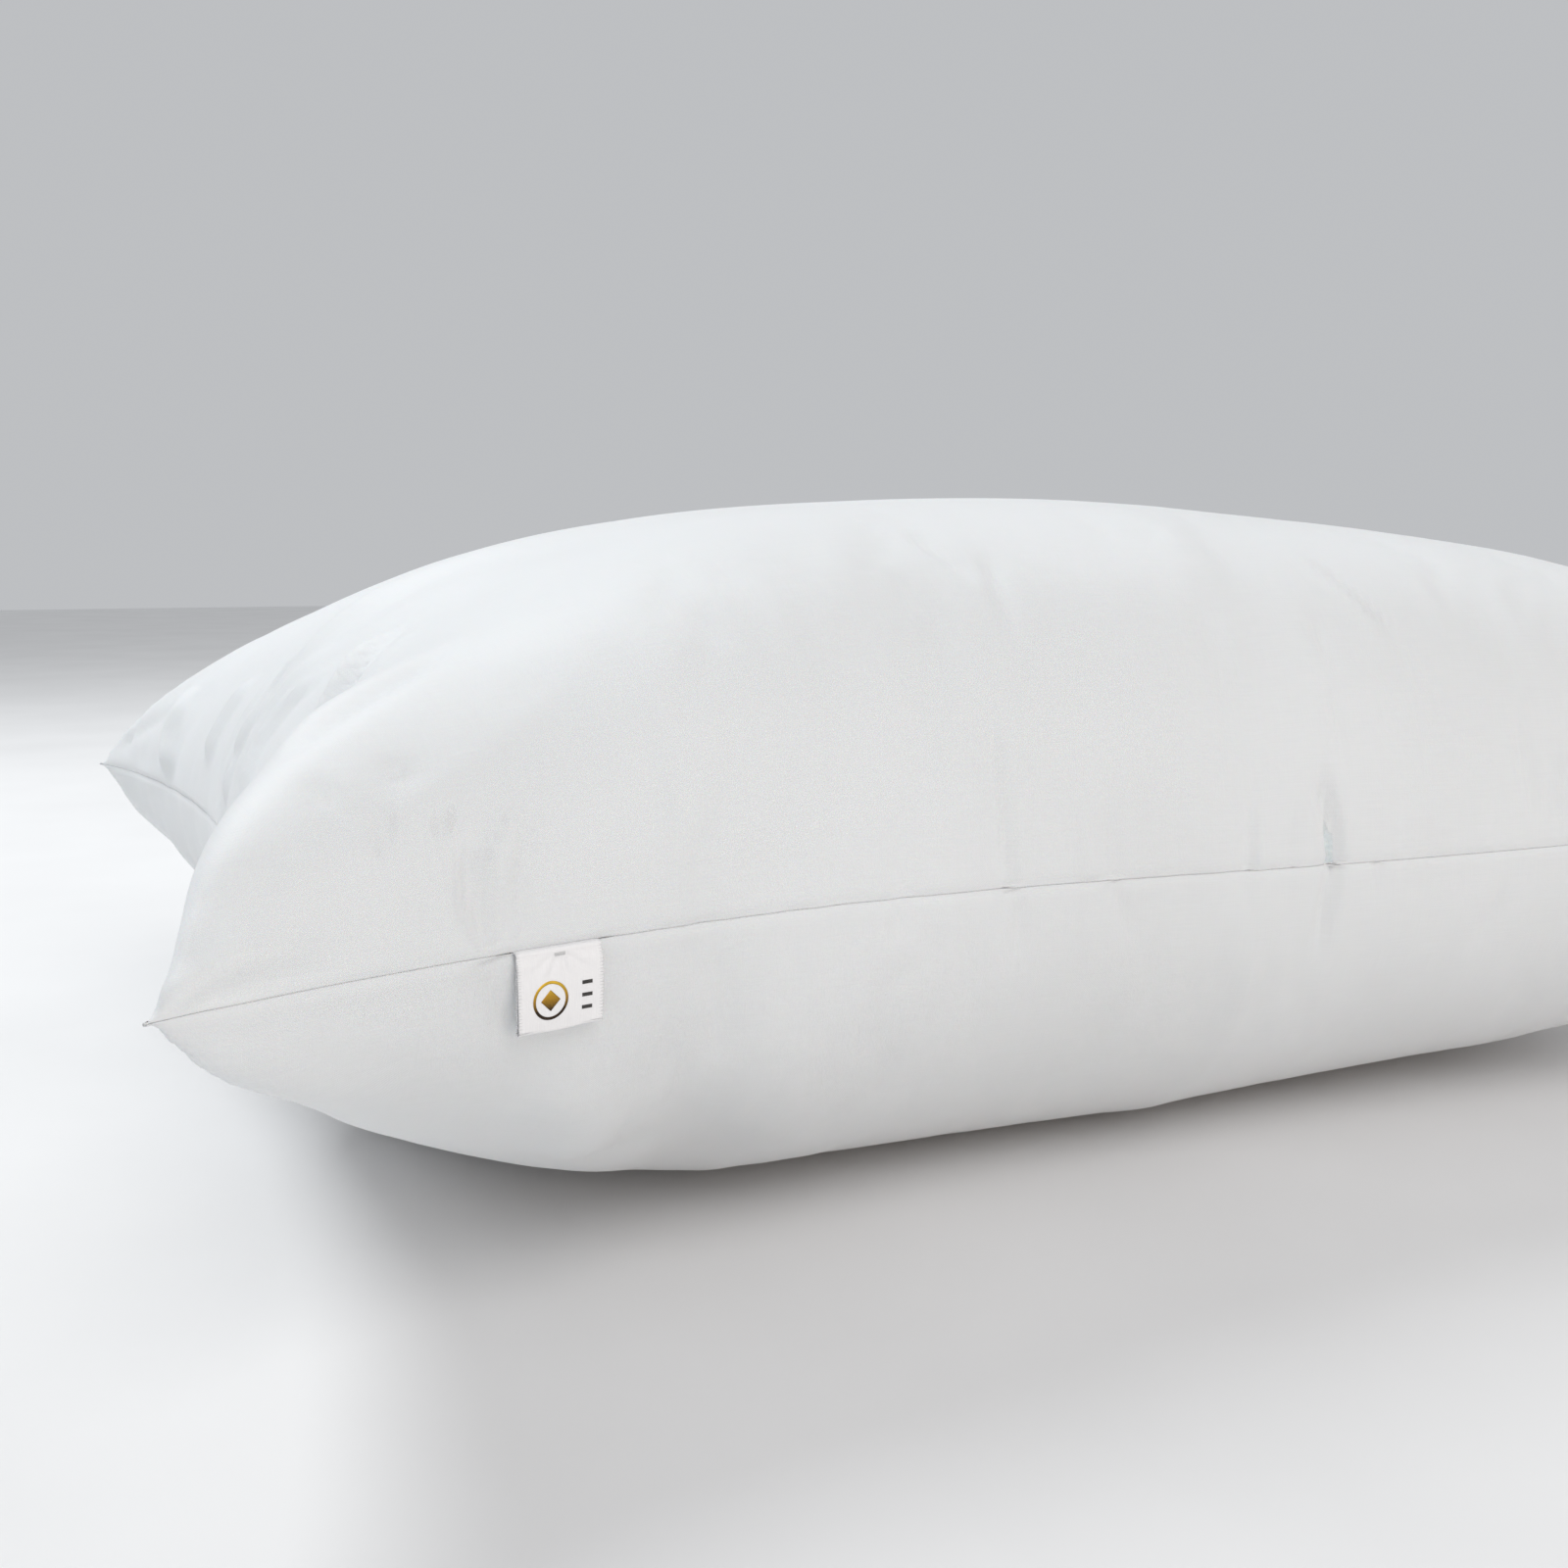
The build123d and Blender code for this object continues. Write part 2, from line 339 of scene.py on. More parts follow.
def refine(here, other, s_lines, t_lines):
    """One panel's surface on finer, graded lines, smooth across the seam into the other panel."""
    def through(grid, beyond, places):
        wide = np.concatenate([beyond[1:2], grid, beyond[-2:-1]])
        return cubic(wide, places * (len(grid) - 1))
    along = through(here, other, s_lines / cut_length)
    along_other = through(other, here, s_lines / cut_length)
    flip = (1, 0, 2)
    return through(along.transpose(flip), along_other.transpose(flip), t_lines / cut_width).transpose(flip)


def from_seams(gs, gt):
    """How far places on a panel are from the nearest seam."""
    return np.minimum(np.minimum(gs, cut_length - gs), np.minimum(gt, cut_width - gt))


def unit(vectors):
    return vectors / np.maximum(np.linalg.norm(vectors, axis=-1, keepdims=True), 1e-12)


def grid_normals(points, s_lines, t_lines, side):
    by_s = np.gradient(points, s_lines, axis=0)
    by_t = np.gradient(points, t_lines, axis=1)
    return unit(np.cross(by_s, by_t)) * side


# ---- folds, puckers and the seam's own shape ----

# A fold is a line on one panel, in metres from its left end and its near side, with the height
# it stands (below 0 it is a valley), its half-width on each side, and, where they are not the
# usual ones, the shares of its length over which its two ends fade. Those on the near side and
# the left end follow the real pillow, and the others are made up to match.
fold_strength = 1.35
top_folds = [
    # the hip from the near left corner, and the hollow of the end face behind it
    ([(0.004, 0.005), (0.030, 0.038), (0.062, 0.080), (0.115, 0.128)], 0.0060, 0.009, 0.018, 0.3, 0.5),
    ([(0.010, 0.090), (0.045, 0.125), (0.100, 0.170)], -0.0060, 0.024, 0.016, 0.3, 0.5),
    ([(0.120, 0.200), (0.165, 0.260), (0.165, 0.330)], -0.0030, 0.050, 0.050, 0.4, 0.4),
    # drawn folds down the left end
    ([(0.050, 0.142), (0.080, 0.152), (0.118, 0.180)], 0.0048, 0.010, 0.0024, 0.35, 0.45),
    ([(0.040, 0.054), (0.074, 0.076), (0.112, 0.108)], -0.0020, 0.003, 0.0035),
    ([(0.020, 0.180), (0.060, 0.206), (0.095, 0.192)], 0.0028, 0.006, 0.003),
    ([(0.030, 0.118), (0.070, 0.136), (0.125, 0.166)], 0.0011, 0.004, 0.003),
    ([(0.018, 0.205), (0.055, 0.228), (0.105, 0.222)], 0.0011, 0.005, 0.003),
    ([(0.012, 0.285), (0.045, 0.292), (0.100, 0.288)], 0.0012, 0.006, 0.0035),
    ([(0.014, 0.235), (0.045, 0.250), (0.085, 0.246)], 0.0030, 0.008, 0.004),
    ([(0.020, 0.325), (0.043, 0.330), (0.075, 0.328)], 0.0030, 0.007, 0.004),
    ([(0.005, 0.392), (0.021, 0.408), (0.052, 0.412)], 0.0036, 0.010, 0.005),
    ([(0.004, 0.466), (0.014, 0.474), (0.030, 0.470)], -0.0012, 0.003, 0.003),
    # near left corner, just above the seam
    ([(0.005, 0.003), (0.019, 0.007), (0.035, 0.009), (0.055, 0.010)], 0.0018, 0.0034, 0.0022, 0.2, 0.5),
    ([(0.010, 0.0018), (0.030, 0.0032), (0.052, 0.0034)], -0.0011, 0.0018, 0.0014),
    ([(0.017, 0.020), (0.043, 0.025)], -0.0009, 0.003, 0.005),
    ([(0.026, 0.014), (0.040, 0.020)], -0.0009, 0.003, 0.004),
    ([(0.050, 0.041), (0.057, 0.044)], -0.0012, 0.004, 0.004),
    ([(0.061, 0.030), (0.069, 0.032)], -0.0014, 0.004, 0.004),
    ([(0.071, 0.043), (0.074, 0.051)], -0.0010, 0.004, 0.004),
    # the gathers beside and over the label
    ([(0.078, 0.034), (0.085, 0.030)], -0.0014, 0.0016, 0.002),
    ([(0.084, 0.026), (0.085, 0.014), (0.090, 0.002)], -0.0026, 0.006, 0.0022, 0.3, 0.1),
    ([(0.092, 0.014), (0.095, 0.022), (0.102, 0.031)], 0.0016, 0.003, 0.004),
    ([(0.102, 0.030), (0.102, 0.016), (0.097, 0.003)], -0.0012, 0.0025, 0.003, 0.3, 0.1),
    # creases on the crown's near slope
    ([(0.268, 0.128), (0.274, 0.106), (0.281, 0.088)], -0.0013, 0.006, 0.0026),
    ([(0.291, 0.112), (0.286, 0.086), (0.285, 0.062)], -0.0011, 0.005, 0.003),
    ([(0.424, 0.118), (0.432, 0.101), (0.449, 0.062)], 0.0013, 0.004, 0.0022),
    ([(0.428, 0.114), (0.436, 0.100), (0.452, 0.064)], -0.0012, 0.0022, 0.004),
    ([(0.413, 0.078), (0.419, 0.050)], -0.0010, 0.003, 0.003),
    ([(0.411, 0.056), (0.414, 0.034), (0.414, 0.022)], -0.0010, 0.003, 0.003),
    # puckers that run down to the near seam
    ([(0.267, 0.048), (0.269, 0.030), (0.270, 0.013), (0.273, 0.0)], -0.0014, 0.0026, 0.0045, 0.4, 0.02),
    ([(0.311, 0.024), (0.312, 0.0)], -0.0010, 0.003, 0.003, 0.5, 0.05),
    ([(0.373, 0.020), (0.370, 0.0)], -0.0009, 0.003, 0.003, 0.5, 0.05),
    ([(0.393, 0.018), (0.390, 0.0)], -0.0009, 0.003, 0.003, 0.5, 0.05),
    ([(0.403, 0.028), (0.408, 0.012), (0.411, 0.0)], -0.0026, 0.0022, 0.0055, 0.4, 0.02),
    ([(0.495, 0.042), (0.498, 0.004)], -0.0012, 0.003, 0.004),
    ([(0.512, 0.030), (0.505, 0.003)], -0.0011, 0.003, 0.003),
    # the right end, and the far side
    ([(0.746, 0.006), (0.715, 0.045), (0.670, 0.090)], 0.0036, 0.016, 0.011, 0.3, 0.5),
    ([(0.746, 0.494), (0.712, 0.452), (0.665, 0.405)], 0.0036, 0.011, 0.016, 0.3, 0.5),
    ([(0.006, 0.494), (0.040, 0.455), (0.090, 0.405)], 0.0010, 0.012, 0.009, 0.3, 0.5),
    ([(0.742, 0.120), (0.705, 0.135), (0.660, 0.160)], -0.0016, 0.006, 0.004),
    ([(0.745, 0.180), (0.715, 0.195), (0.685, 0.190)], -0.0014, 0.004, 0.004, 0.1),
    ([(0.745, 0.305), (0.710, 0.300), (0.680, 0.315)], -0.0014, 0.004, 0.005, 0.1),
    ([(0.740, 0.385), (0.700, 0.370), (0.655, 0.350)], 0.0016, 0.006, 0.003),
    ([(0.180, 0.500), (0.184, 0.470), (0.178, 0.440)], -0.0016, 0.004, 0.003, 0.02, 0.5),
    ([(0.330, 0.500), (0.326, 0.478), (0.331, 0.450)], -0.0012, 0.003, 0.004, 0.02, 0.5),
    ([(0.545, 0.500), (0.549, 0.470), (0.540, 0.435)], -0.0020, 0.005, 0.003, 0.02, 0.5),
    ([(0.620, 0.0), (0.616, 0.026), (0.622, 0.055)], -0.0018, 0.003, 0.005, 0.02, 0.5),
]
bottom_folds = [
    ([(0.145, 0.055), (0.175, 0.100), (0.200, 0.140)], -0.0050, 0.022, 0.022, 0.4, 0.4),
    ([(0.273, 0.0), (0.276, 0.010), (0.277, 0.030)], -0.0013, 0.003, 0.003, 0.02, 0.6),
    ([(0.411, 0.0), (0.408, 0.010), (0.407, 0.024), (0.408, 0.044)], -0.0022, 0.004, 0.0025, 0.02, 0.6),
    ([(0.312, 0.0), (0.322, 0.022)], -0.0009, 0.003, 0.003, 0.05, 0.6),
    ([(0.430, 0.0), (0.423, 0.020)], -0.0010, 0.003, 0.003, 0.05, 0.6),
    ([(0.487, 0.010), (0.478, 0.048)], -0.0010, 0.004, 0.003, 0.3, 0.5),
    ([(0.105, 0.030), (0.128, 0.066), (0.146, 0.095)], 0.0032, 0.012, 0.014, 0.4, 0.3),
    ([(0.090, 0.0), (0.092, 0.012), (0.099, 0.028)], -0.0014, 0.005, 0.003, 0.05, 0.5),
    ([(0.006, 0.004), (0.040, 0.030), (0.080, 0.050)], 0.0020, 0.008, 0.008, 0.3, 0.5),
    ([(0.746, 0.006), (0.710, 0.040), (0.665, 0.075)], 0.0028, 0.012, 0.009, 0.3, 0.5),
    ([(0.746, 0.494), (0.710, 0.460), (0.665, 0.425)], 0.0028, 0.009, 0.012, 0.3, 0.5),
    ([(0.006, 0.494), (0.040, 0.460), (0.085, 0.425)], 0.0028, 0.012, 0.009, 0.3, 0.5),
    ([(0.545, 0.500), (0.551, 0.475), (0.548, 0.450)], -0.0016, 0.004, 0.003, 0.02, 0.5),
    ([(0.180, 0.500), (0.176, 0.478), (0.182, 0.455)], -0.0014, 0.004, 0.003, 0.02, 0.5),
]


def distance_along(points_s, points_t, path):
    """Signed distance to a chain of straight runs, and the share of the chain passed."""
    path = np.array(path, float)
    runs = np.linalg.norm(np.diff(path, axis=0), axis=1)
    total = runs.sum()
    best = np.full(points_s.shape, 1e9)
    signed = np.zeros(points_s.shape)
    share = np.zeros(points_s.shape)
    passed = 0.0
    for start, end, run in zip(path[:-1], path[1:], runs):
        along = (end - start) / run
        ds, dt = points_s - start[0], points_t - start[1]
        forward = np.clip(ds * along[0] + dt * along[1], 0, run)
        gap = np.hypot(ds - forward * along[0], dt - forward * along[1])
        turn = np.sign(ds * along[1] - dt * along[0])
        closer = gap < best
        best = np.where(closer, gap, best)
        signed = np.where(closer, gap * turn, signed)
        share = np.where(closer, (passed + forward) / total, share)
        passed += run
    return signed, share


def smooth_path(path, rounds=3):
    """Corner-cutting, so that a fold drawn with a few points runs in a curve."""
    path = np.array(path, float)
    for _ in range(rounds):
        cut = [path[:1]]
        for a, b in zip(path[:-1], path[1:]):
            cut.append([0.75 * a + 0.25 * b, 0.25 * a + 0.75 * b])
        cut.append(path[-1:])
        path = np.concatenate(cut)
    return path


def fold_height(gs, gt, path, height, left, right, start_fade=0.3, end_fade=0.3):
    signed, share = distance_along(gs, gt, smooth_path(path))
    width = np.where(signed < 0, left, right)
    fade = np.clip(share / start_fade, 0, 1) * np.clip((1 - share) / end_fade, 0, 1)
    ease = fade * fade * (3 - 2 * fade)
    near_end = np.exp(-((signed / width) ** 2))
    return height * ease * near_end


def seam_puckers(gs, gt):
    """Fine gathers that run away from the seams, shared by both panels where they meet."""
    draw = np.random.default_rng(pucker_seed)
    height = np.zeros(gs.shape)
    sides = (
        (gs, gt, cut_length), (gs, cut_width - gt, cut_length),
        (gt, gs, cut_width), (gt, cut_length - gs, cut_width),
    )
    for along, away, length in sides:
        for _ in range(int(puckers_per_metre * length)):
            place = draw.uniform(0.03, length - 0.03)
            reach = draw.uniform(0.008, 0.045)
            wide = draw.uniform(0.0022, 0.0055)
            lean = draw.normal(0, 0.12)
            tall = draw.choice([-1, 1]) * draw.uniform(0.00004, 0.00028)
            drift = place + lean * away
            fall = np.exp(-((away / reach) ** 2)) * np.clip(away / 0.0015, 0.25, 1)
            height += tall * np.exp(-(((along - drift) / wide) ** 2)) * fall
    return height


def corner_gathers(gs, gt, seed):
    """Creases that fan out from the four corners, where the cloth is drawn in."""
    draw = np.random.default_rng(seed)
    height = np.zeros(gs.shape)
    for corner_s in (0, cut_length):
        for corner_t in (0, cut_width):
            ds, dt = np.abs(gs - corner_s), np.abs(gt - corner_t)
            reach = np.hypot(ds, dt)
            angle = np.arctan2(dt, ds)
            for _ in range(9):
                way = draw.uniform(0.12, 1.45)
                bend = draw.uniform(-1.2, 1.2)
                start, length = draw.uniform(0.004, 0.03), draw.uniform(0.04, 0.13)
                tall = draw.uniform(-0.0011, 0.0009)
                wide = draw.uniform(0.0022, 0.0050)
                off = reach * np.sin(np.clip(angle - way - bend * reach, -1.5, 1.5))
                share = np.clip((reach - start) / length, 0, 1)
                height += tall * np.sin(math.pi * share ** 0.7) * np.exp(-((off / wide) ** 2))
    return height


def with_lip(points, s_lines, t_lines, side):
    """Run the right end's cloth out into the flat lip that closes the filling opening."""
    low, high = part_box("closing_seam_thread")
    half = (high.y - low.y) / 2 + 0.006
    place = np.abs(t_lines - cut_width / 2)
    lip = lip_width * np.clip((half - place) / 0.008, 0, 1) ** 0.7
    away = cut_length - s_lines
    shaped = points.copy()
    for column in np.nonzero(lip > 0)[0]:
        wide = lip[column]
        taken_up = np.where(away < lip_reach, (away - wide) * lip_reach / (lip_reach - wide), away)
        source = cut_length - np.maximum(taken_up, 0)
        for axis in range(3):
            shaped[:, column, axis] = np.interp(source, s_lines, points[:, column, axis])
        flat = np.clip(wide - away, 0, None)
        shaped[:, column, 0] += flat
        hold = np.clip(1 - (away - wide) / 0.002, 0, 1)
        level = side * lip_half * np.clip(away / 0.0006, 0.3, 1)
        rim = points[-1, column, 2]
        shaped[:, column, 2] += hold * (rim + level - shaped[:, column, 2])
    return shaped, lip


def open_by(places):
    """Half the gap between the two panels' edges: open for the label's tail, shut elsewhere."""
    low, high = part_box("label_seam_tail")
    middle = ((low.x + high.x) / 2, (low.y + high.y) / 2)
    gap = np.hypot(places[..., 0] - middle[0], places[..., 1] - middle[1])
    share = np.clip((0.019 - gap) / 0.004, 0, 1)
    share = share * share * (3 - 2 * share)
    return (shut_gap + (tail_gap - shut_gap) * share) / 2


def sculpt(points, folds, s_lines, t_lines, side):
    """The refined panel with its folds, puckers, seam groove and closing lip."""
    gs, gt = np.meshgrid(s_lines, t_lines, indexing="ij")
    normals = grid_normals(points, s_lines, t_lines, side)
    lift = seam_puckers(gs, gt) + corner_gathers(gs, gt, pucker_seed + side)
    for one in folds:
        lift = lift + fold_strength * fold_height(gs, gt, *one)
    shaped, lip = with_lip(points + normals * lift[..., None], s_lines, t_lines, side)
    away = from_seams(gs, gt)
    depth = groove_depth * np.exp(-((away / groove_width) ** 2))
    depth = depth * (1 - (lip / lip_width)[None, :] * (gs > cut_length - lip_reach))
    along_s, along_t = np.minimum(gs, cut_length - gs), np.minimum(gt, cut_width - gt)
    depth = depth * np.clip(np.maximum(along_s, along_t) / groove_fade, 0, 1)
    plan = unit(normals * (1, 1, 0)) * np.linalg.norm(normals[..., :2], axis=-1, keepdims=True)
    shaped -= plan * depth[..., None]
    shaped[..., 2] += side * open_by(shaped) * np.exp(-((away / 0.0012) ** 2))
    return shaped


# ---- sheets, threads and filling ----

def add_mesh(name, points, faces, coordinates=None):
    """A mesh object, with the cloth's flat coordinates in metres as its UV map."""
    mesh = bpy.data.meshes.new(name)
    mesh.from_pydata(np.asarray(points).tolist(), [], [tuple(f) for f in faces])
    mesh.update()
    if coordinates is not None:
        layer = mesh.uv_layers.new(name="flat")
        corners = np.empty(len(mesh.loops), np.int32)
        mesh.loops.foreach_get("vertex_index", corners)
        layer.data.foreach_set("uv", np.asarray(coordinates, np.float32)[corners].ravel())
    mesh.polygons.foreach_set("use_smooth", np.ones(len(mesh.polygons), bool))
    return new_object(name, mesh)


def vertex_normals(points, quads):
    face = np.cross(points[quads[:, 2]] - points[quads[:, 0]], points[quads[:, 3]] - points[quads[:, 1]])
    total = np.zeros_like(points)
    for corner in range(4):
        np.add.at(total, quads[:, corner], face)
    return unit(total)


def closed_sheet(name, points, quads, rims, thickness, coordinates):
    """A sheet with real thickness: outer face, inner face, and its raw edges."""
    inner = points - vertex_normals(points, quads) * thickness
    count = len(points)
    faces = [quads, quads[:, ::-1] + count]
    for rim in rims:
        after = np.roll(rim, -1)
        faces.append(np.stack([after, rim, rim + count, after + count], 1))
    faces = np.concatenate(faces)
    return add_mesh(name, np.concatenate([points, inner]), faces, np.concatenate([coordinates] * 2))


def rim_loop(index):
    """Vertex numbers round a grid's edge, anticlockwise."""
    return np.concatenate([index[:-1, 0], index[-1, :-1], index[:0:-1, -1], index[0, :0:-1]])


def seam_line(edge):
    """The seam as closed arrays: distance round, place, way inward, and room for an allowance."""
    step = np.linalg.norm(np.roll(edge, -1, 0) - edge, axis=1)
    along = unit((np.roll(edge, -1, 0) - np.roll(edge, 1, 0)) * (1, 1, 0))
    inward = np.stack([-along[:, 1], along[:, 0], np.zeros(len(edge))], 1)
    round_trip = np.concatenate([[0], np.cumsum(step)])
    corners = [int(np.argmax(edge[:, 0] * sx + edge[:, 1] * sy)) for sx in (-1, 1) for sy in (-1, 1)]
    total = round_trip[-1]
    gaps = np.stack([np.abs(round_trip[:-1] - round_trip[c]) for c in corners])
    room = np.minimum(gaps, total - gaps).min(0)
    depth = np.minimum(allowance, 0.0005 + 0.4 * room)
    return round_trip, edge, inward, depth


def at_seam(line, distances):
    """Place, way inward and allowance depth at distances round the seam."""
    round_trip, edge, inward, depth = line
    closed = [np.concatenate([a, a[:1]]) for a in (edge, inward, depth[:, None])]
    distances = np.mod(distances, round_trip[-1])
    read = [np.stack([np.interp(distances, round_trip, a[:, k]) for k in range(a.shape[1])], 1)
            for a in closed]
    return read[0], unit(read[1]), read[2][:, 0]


def panel_sheet(name, points, line, s_lines, t_lines, side):
    """A panel with its seam allowance turned in along the seam, as one closed sheet."""
    index = np.arange(points[..., 0].size).reshape(points.shape[:2])
    quads = grid_quads(index)
    gs, gt = np.meshgrid(s_lines, t_lines, indexing="ij")
    flat = np.stack([gs.ravel(), gt.ravel()], 1)
    loop = rim_loop(index)
    vertices = [points.reshape(-1, 3)]
    coordinates = [flat]
    _, edge, inward, depth = line
    start = vertices[0][loop]
    level = edge[:, 2] + side * open_by(start)
    rows = [loop]
    for share in (0.1, 0.35, 0.7, 1.0):
        row = start + inward * (depth * share)[:, None]
        row[:, 2] = level
        rows.append(len(flat) + (len(rows) - 1) * len(loop) + np.arange(len(loop)))
        vertices.append(row)
        coordinates.append(flat[loop])
    strips = []
    for here, there in zip(rows[:-1], rows[1:]):
        strips.append(np.stack([here, there, np.roll(there, -1), np.roll(here, -1)], 1))
    quads = np.concatenate([quads] + strips)
    rim = rows[-1]
    if side < 0:
        quads = quads[:, ::-1]
        rim = rim[::-1]
    return closed_sheet(name, np.concatenate(vertices), quads, [rim], cloth, np.concatenate(coordinates))


def thread_piece(name, paths, radius):
    """Sewing thread along one or more paths, as a mesh."""
    curve = bpy.data.curves.new(name, "CURVE")
    curve.dimensions = "3D"
    curve.bevel_depth = radius
    curve.bevel_resolution = 1
    curve.use_fill_caps = True
    for path in paths:
        spline = curve.splines.new("POLY")
        spline.points.add(len(path) - 1)
        padded = np.concatenate([path, np.ones((len(path), 1))], 1)
        spline.points.foreach_set("co", padded.astype(np.float32).ravel())
    source = new_object(name + "_path", curve)
    bpy.context.view_layer.update()
    mesh = bpy.data.meshes.new_from_object(source.evaluated_get(bpy.context.evaluated_depsgraph_get()))
    bpy.data.objects.remove(source)
    bpy.data.curves.remove(curve)
    mesh.polygons.foreach_set("use_smooth", np.ones(len(mesh.polygons), bool))
    return new_object(name, mesh)


def lock_stitches(line):
    """Needle and bobbin thread round the seam, locked between the two allowances."""
    total = line[0][-1]
    count = int(total / stitch_pitch)
    beat = np.arange(count * 4)
    place, inward, depth = at_seam(line, beat * total / len(beat))
    height = np.array([0.0, 0.8, 1.0, 0.8])[beat % 4] * (open_by(place) + cloth + thread_radius)
    centre = place + inward * stitch_inset
    threads = []
    for run in kept_runs(depth > stitch_room):
        for side in (1, -1):
            threads.append((centre + np.array([0, 0, side]) * height[:, None])[run])
    return thread_piece("perimeter_lock_stitches", threads, thread_radius)


def kept_runs(keep):
    """The unbroken runs of True in a list, as arrays of positions."""
    marks = np.flatnonzero(np.diff(np.concatenate([[0], keep.astype(int), [0]])))
    return [np.arange(start, end) for start, end in zip(marks[::2], marks[1::2]) if end - start > 12]


def overlock_stitches(line):
    """One thread wound round both raw edges."""
    total = line[0][-1]
    loops = int(total / overlock_pitch)
    beat = np.arange(loops * 6)
    place, inward, depth = at_seam(line, beat * total / len(beat))
    bite = np.array([0.0004, -0.0010, -0.0025, -0.0016, -0.0025, -0.0010])[beat % 6]
    rise = np.array([0.0, 1.0, 1.0, 0.0, -1.0, -1.0])[beat % 6] * (open_by(place) + cloth + thread_radius)
    centre = place + inward * (depth + bite)[:, None] + np.array([0, 0, 1]) * rise[:, None]
    runs = [run[run % 6 != 3] for run in kept_runs(depth >= allowance * 0.98)]
    return thread_piece("overlock_stitches", [centre[run] for run in runs], thread_radius * 0.8)


def closing_stitches(line):
    """A straight row of topstitches on both faces of the closing lip."""
    low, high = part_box("closing_seam_thread")
    count = int((high.y - low.y) / closing_pitch)
    edge = line[1][line[1][:, 0] > 0.6 * corner_x]
    edge = edge[np.argsort(edge[:, 1])]
    paths = []
    for number in range(count):
        y = low.y + (number + 0.5) * (high.y - low.y) / count
        x = np.interp(y, edge[:, 1], edge[:, 0]) + lip_width - 0.0012
        z = np.interp(y, edge[:, 1], edge[:, 2])
        reach = closing_pitch * 0.36
        for side in (1, -1):
            top = side * (lip_half + 0.00014)
            dip = side * (lip_half - 0.0004)
            steps = [(-reach, dip), (-reach * 0.85, top), (reach * 0.85, top), (reach, dip)]
            paths.append(np.array([(x, y + a, z + b) for a, b in steps]))
    return thread_piece("closing_topstitches", paths, 0.00016)


def fibre_filling(top, bottom, s_lines, t_lines):
    """The loose fibre inside: both panels' shapes drawn in, with soft lumps."""
    keep_s = np.nonzero((s_lines > fibre_inset) & (s_lines < cut_length - fibre_inset))[0][::4]
    keep_t = np.nonzero((t_lines > fibre_inset) & (t_lines < cut_width - fibre_inset))[0][::3]
    gs, gt = np.meshgrid(s_lines[keep_s], t_lines[keep_t], indexing="ij")
    away = from_seams(gs, gt) - fibre_inset
    draw = np.random.default_rng(fibre_seed)
    halves = []
    for grid, side in ((top, 1), (bottom, -1)):
        normals = grid_normals(grid, s_lines, t_lines, side)
        lumps = np.zeros(gs.shape)
        for _ in range(260):
            s, t = draw.uniform(0, cut_length), draw.uniform(0, cut_width)
            wide, tall = draw.uniform(0.012, 0.035), draw.uniform(-0.0012, 0.0012)
            lumps += tall * np.exp(-((gs - s) ** 2 + (gt - t) ** 2) / wide ** 2)
        sink = 0.0045 + np.clip(lumps, -0.0025, 0.0025)
        pick = np.ix_(keep_s, keep_t)
        half = grid[pick] - normals[pick] * sink[..., None]
        close = np.clip(away / 0.012, 0, 1)[..., None]
        middle = (top[pick] + bottom[pick]) / 2
        halves.append(middle + (half - middle) * (0.35 + 0.65 * close))
    index = np.arange(gs.size).reshape(gs.shape)
    loop = rim_loop(index)
    after = np.roll(loop, -1)
    sides = np.stack([loop, loop + gs.size, after + gs.size, after], 1)
    faces = np.concatenate([grid_quads(index), grid_quads(index)[:, ::-1] + gs.size, sides])
    flat = np.stack([gs.ravel(), gt.ravel()], 1)
    points = np.concatenate([h.reshape(-1, 3) for h in halves])
    return add_mesh("fibre_filling", points, faces, np.concatenate([flat, flat]))


# ---- the ribbon label ----

label_width = 0.025
label_drop = 0.022
label_tail = 0.009
label_lean = math.radians(4)
ribbon = 0.00018
turn_radius = 0.0008
fold_radius = 0.0009
emblem_drop = 0.0136
emblem_side = -0.003
emblem_radius = 0.0052
emblem_line = 0.0008
gem_half = 0.0029
bar_side = 0.0078
bar_length = 0.003
bar_width = 0.001
bar_pitch = 0.0034
foil = 0.00005
ply_clearance = 0.00004
fold_turns = 15
ribbon_columns = 73


def label_axes():
    """The turning line's middle, and the ways along it, towards the pillow, and up."""
    joint = next(j for j in frame["joints"] if j["name"] == "label_flap")
    origin = np.array(joint["pos_m"], float)
    along = -np.array(joint["axis"], float)
    up = np.array([0.0, 0.0, 1.0])
    return origin, along, np.cross(up, along), up


def ply_bulge(across, down):
    """How far the two plies stand apart, and how far both lean out, over the flap."""
    half = label_width / 2
    share = np.clip(down / label_drop, 0, 1)
    from_tack = np.hypot(across, (down - 0.0012) * 1.3)
    pinch = 1 - np.exp(-((from_tack / 0.0045) ** 2))
    apart = 0.00012 + pinch * (0.00020 + 0.0006 * np.sin(share * math.pi * 0.5))
    apart *= 1 - 0.3 * (across / half) ** 2
    angle = np.arctan2(across, down + 0.0005)
    crease = np.cos(angle * 11 + 0.6) * np.exp(-((from_tack / 0.0085) ** 2)) * pinch
    cup = 0.0011 * (across / half) ** 2 * (0.4 + 0.6 * share)
    wave = 0.0004 * np.sin(share * 3.6 + across / half * 1.1)
    lean_out = 0.00050 * crease + cup + wave * share - 0.0007 * (1 - pinch)
    return apart, lean_out


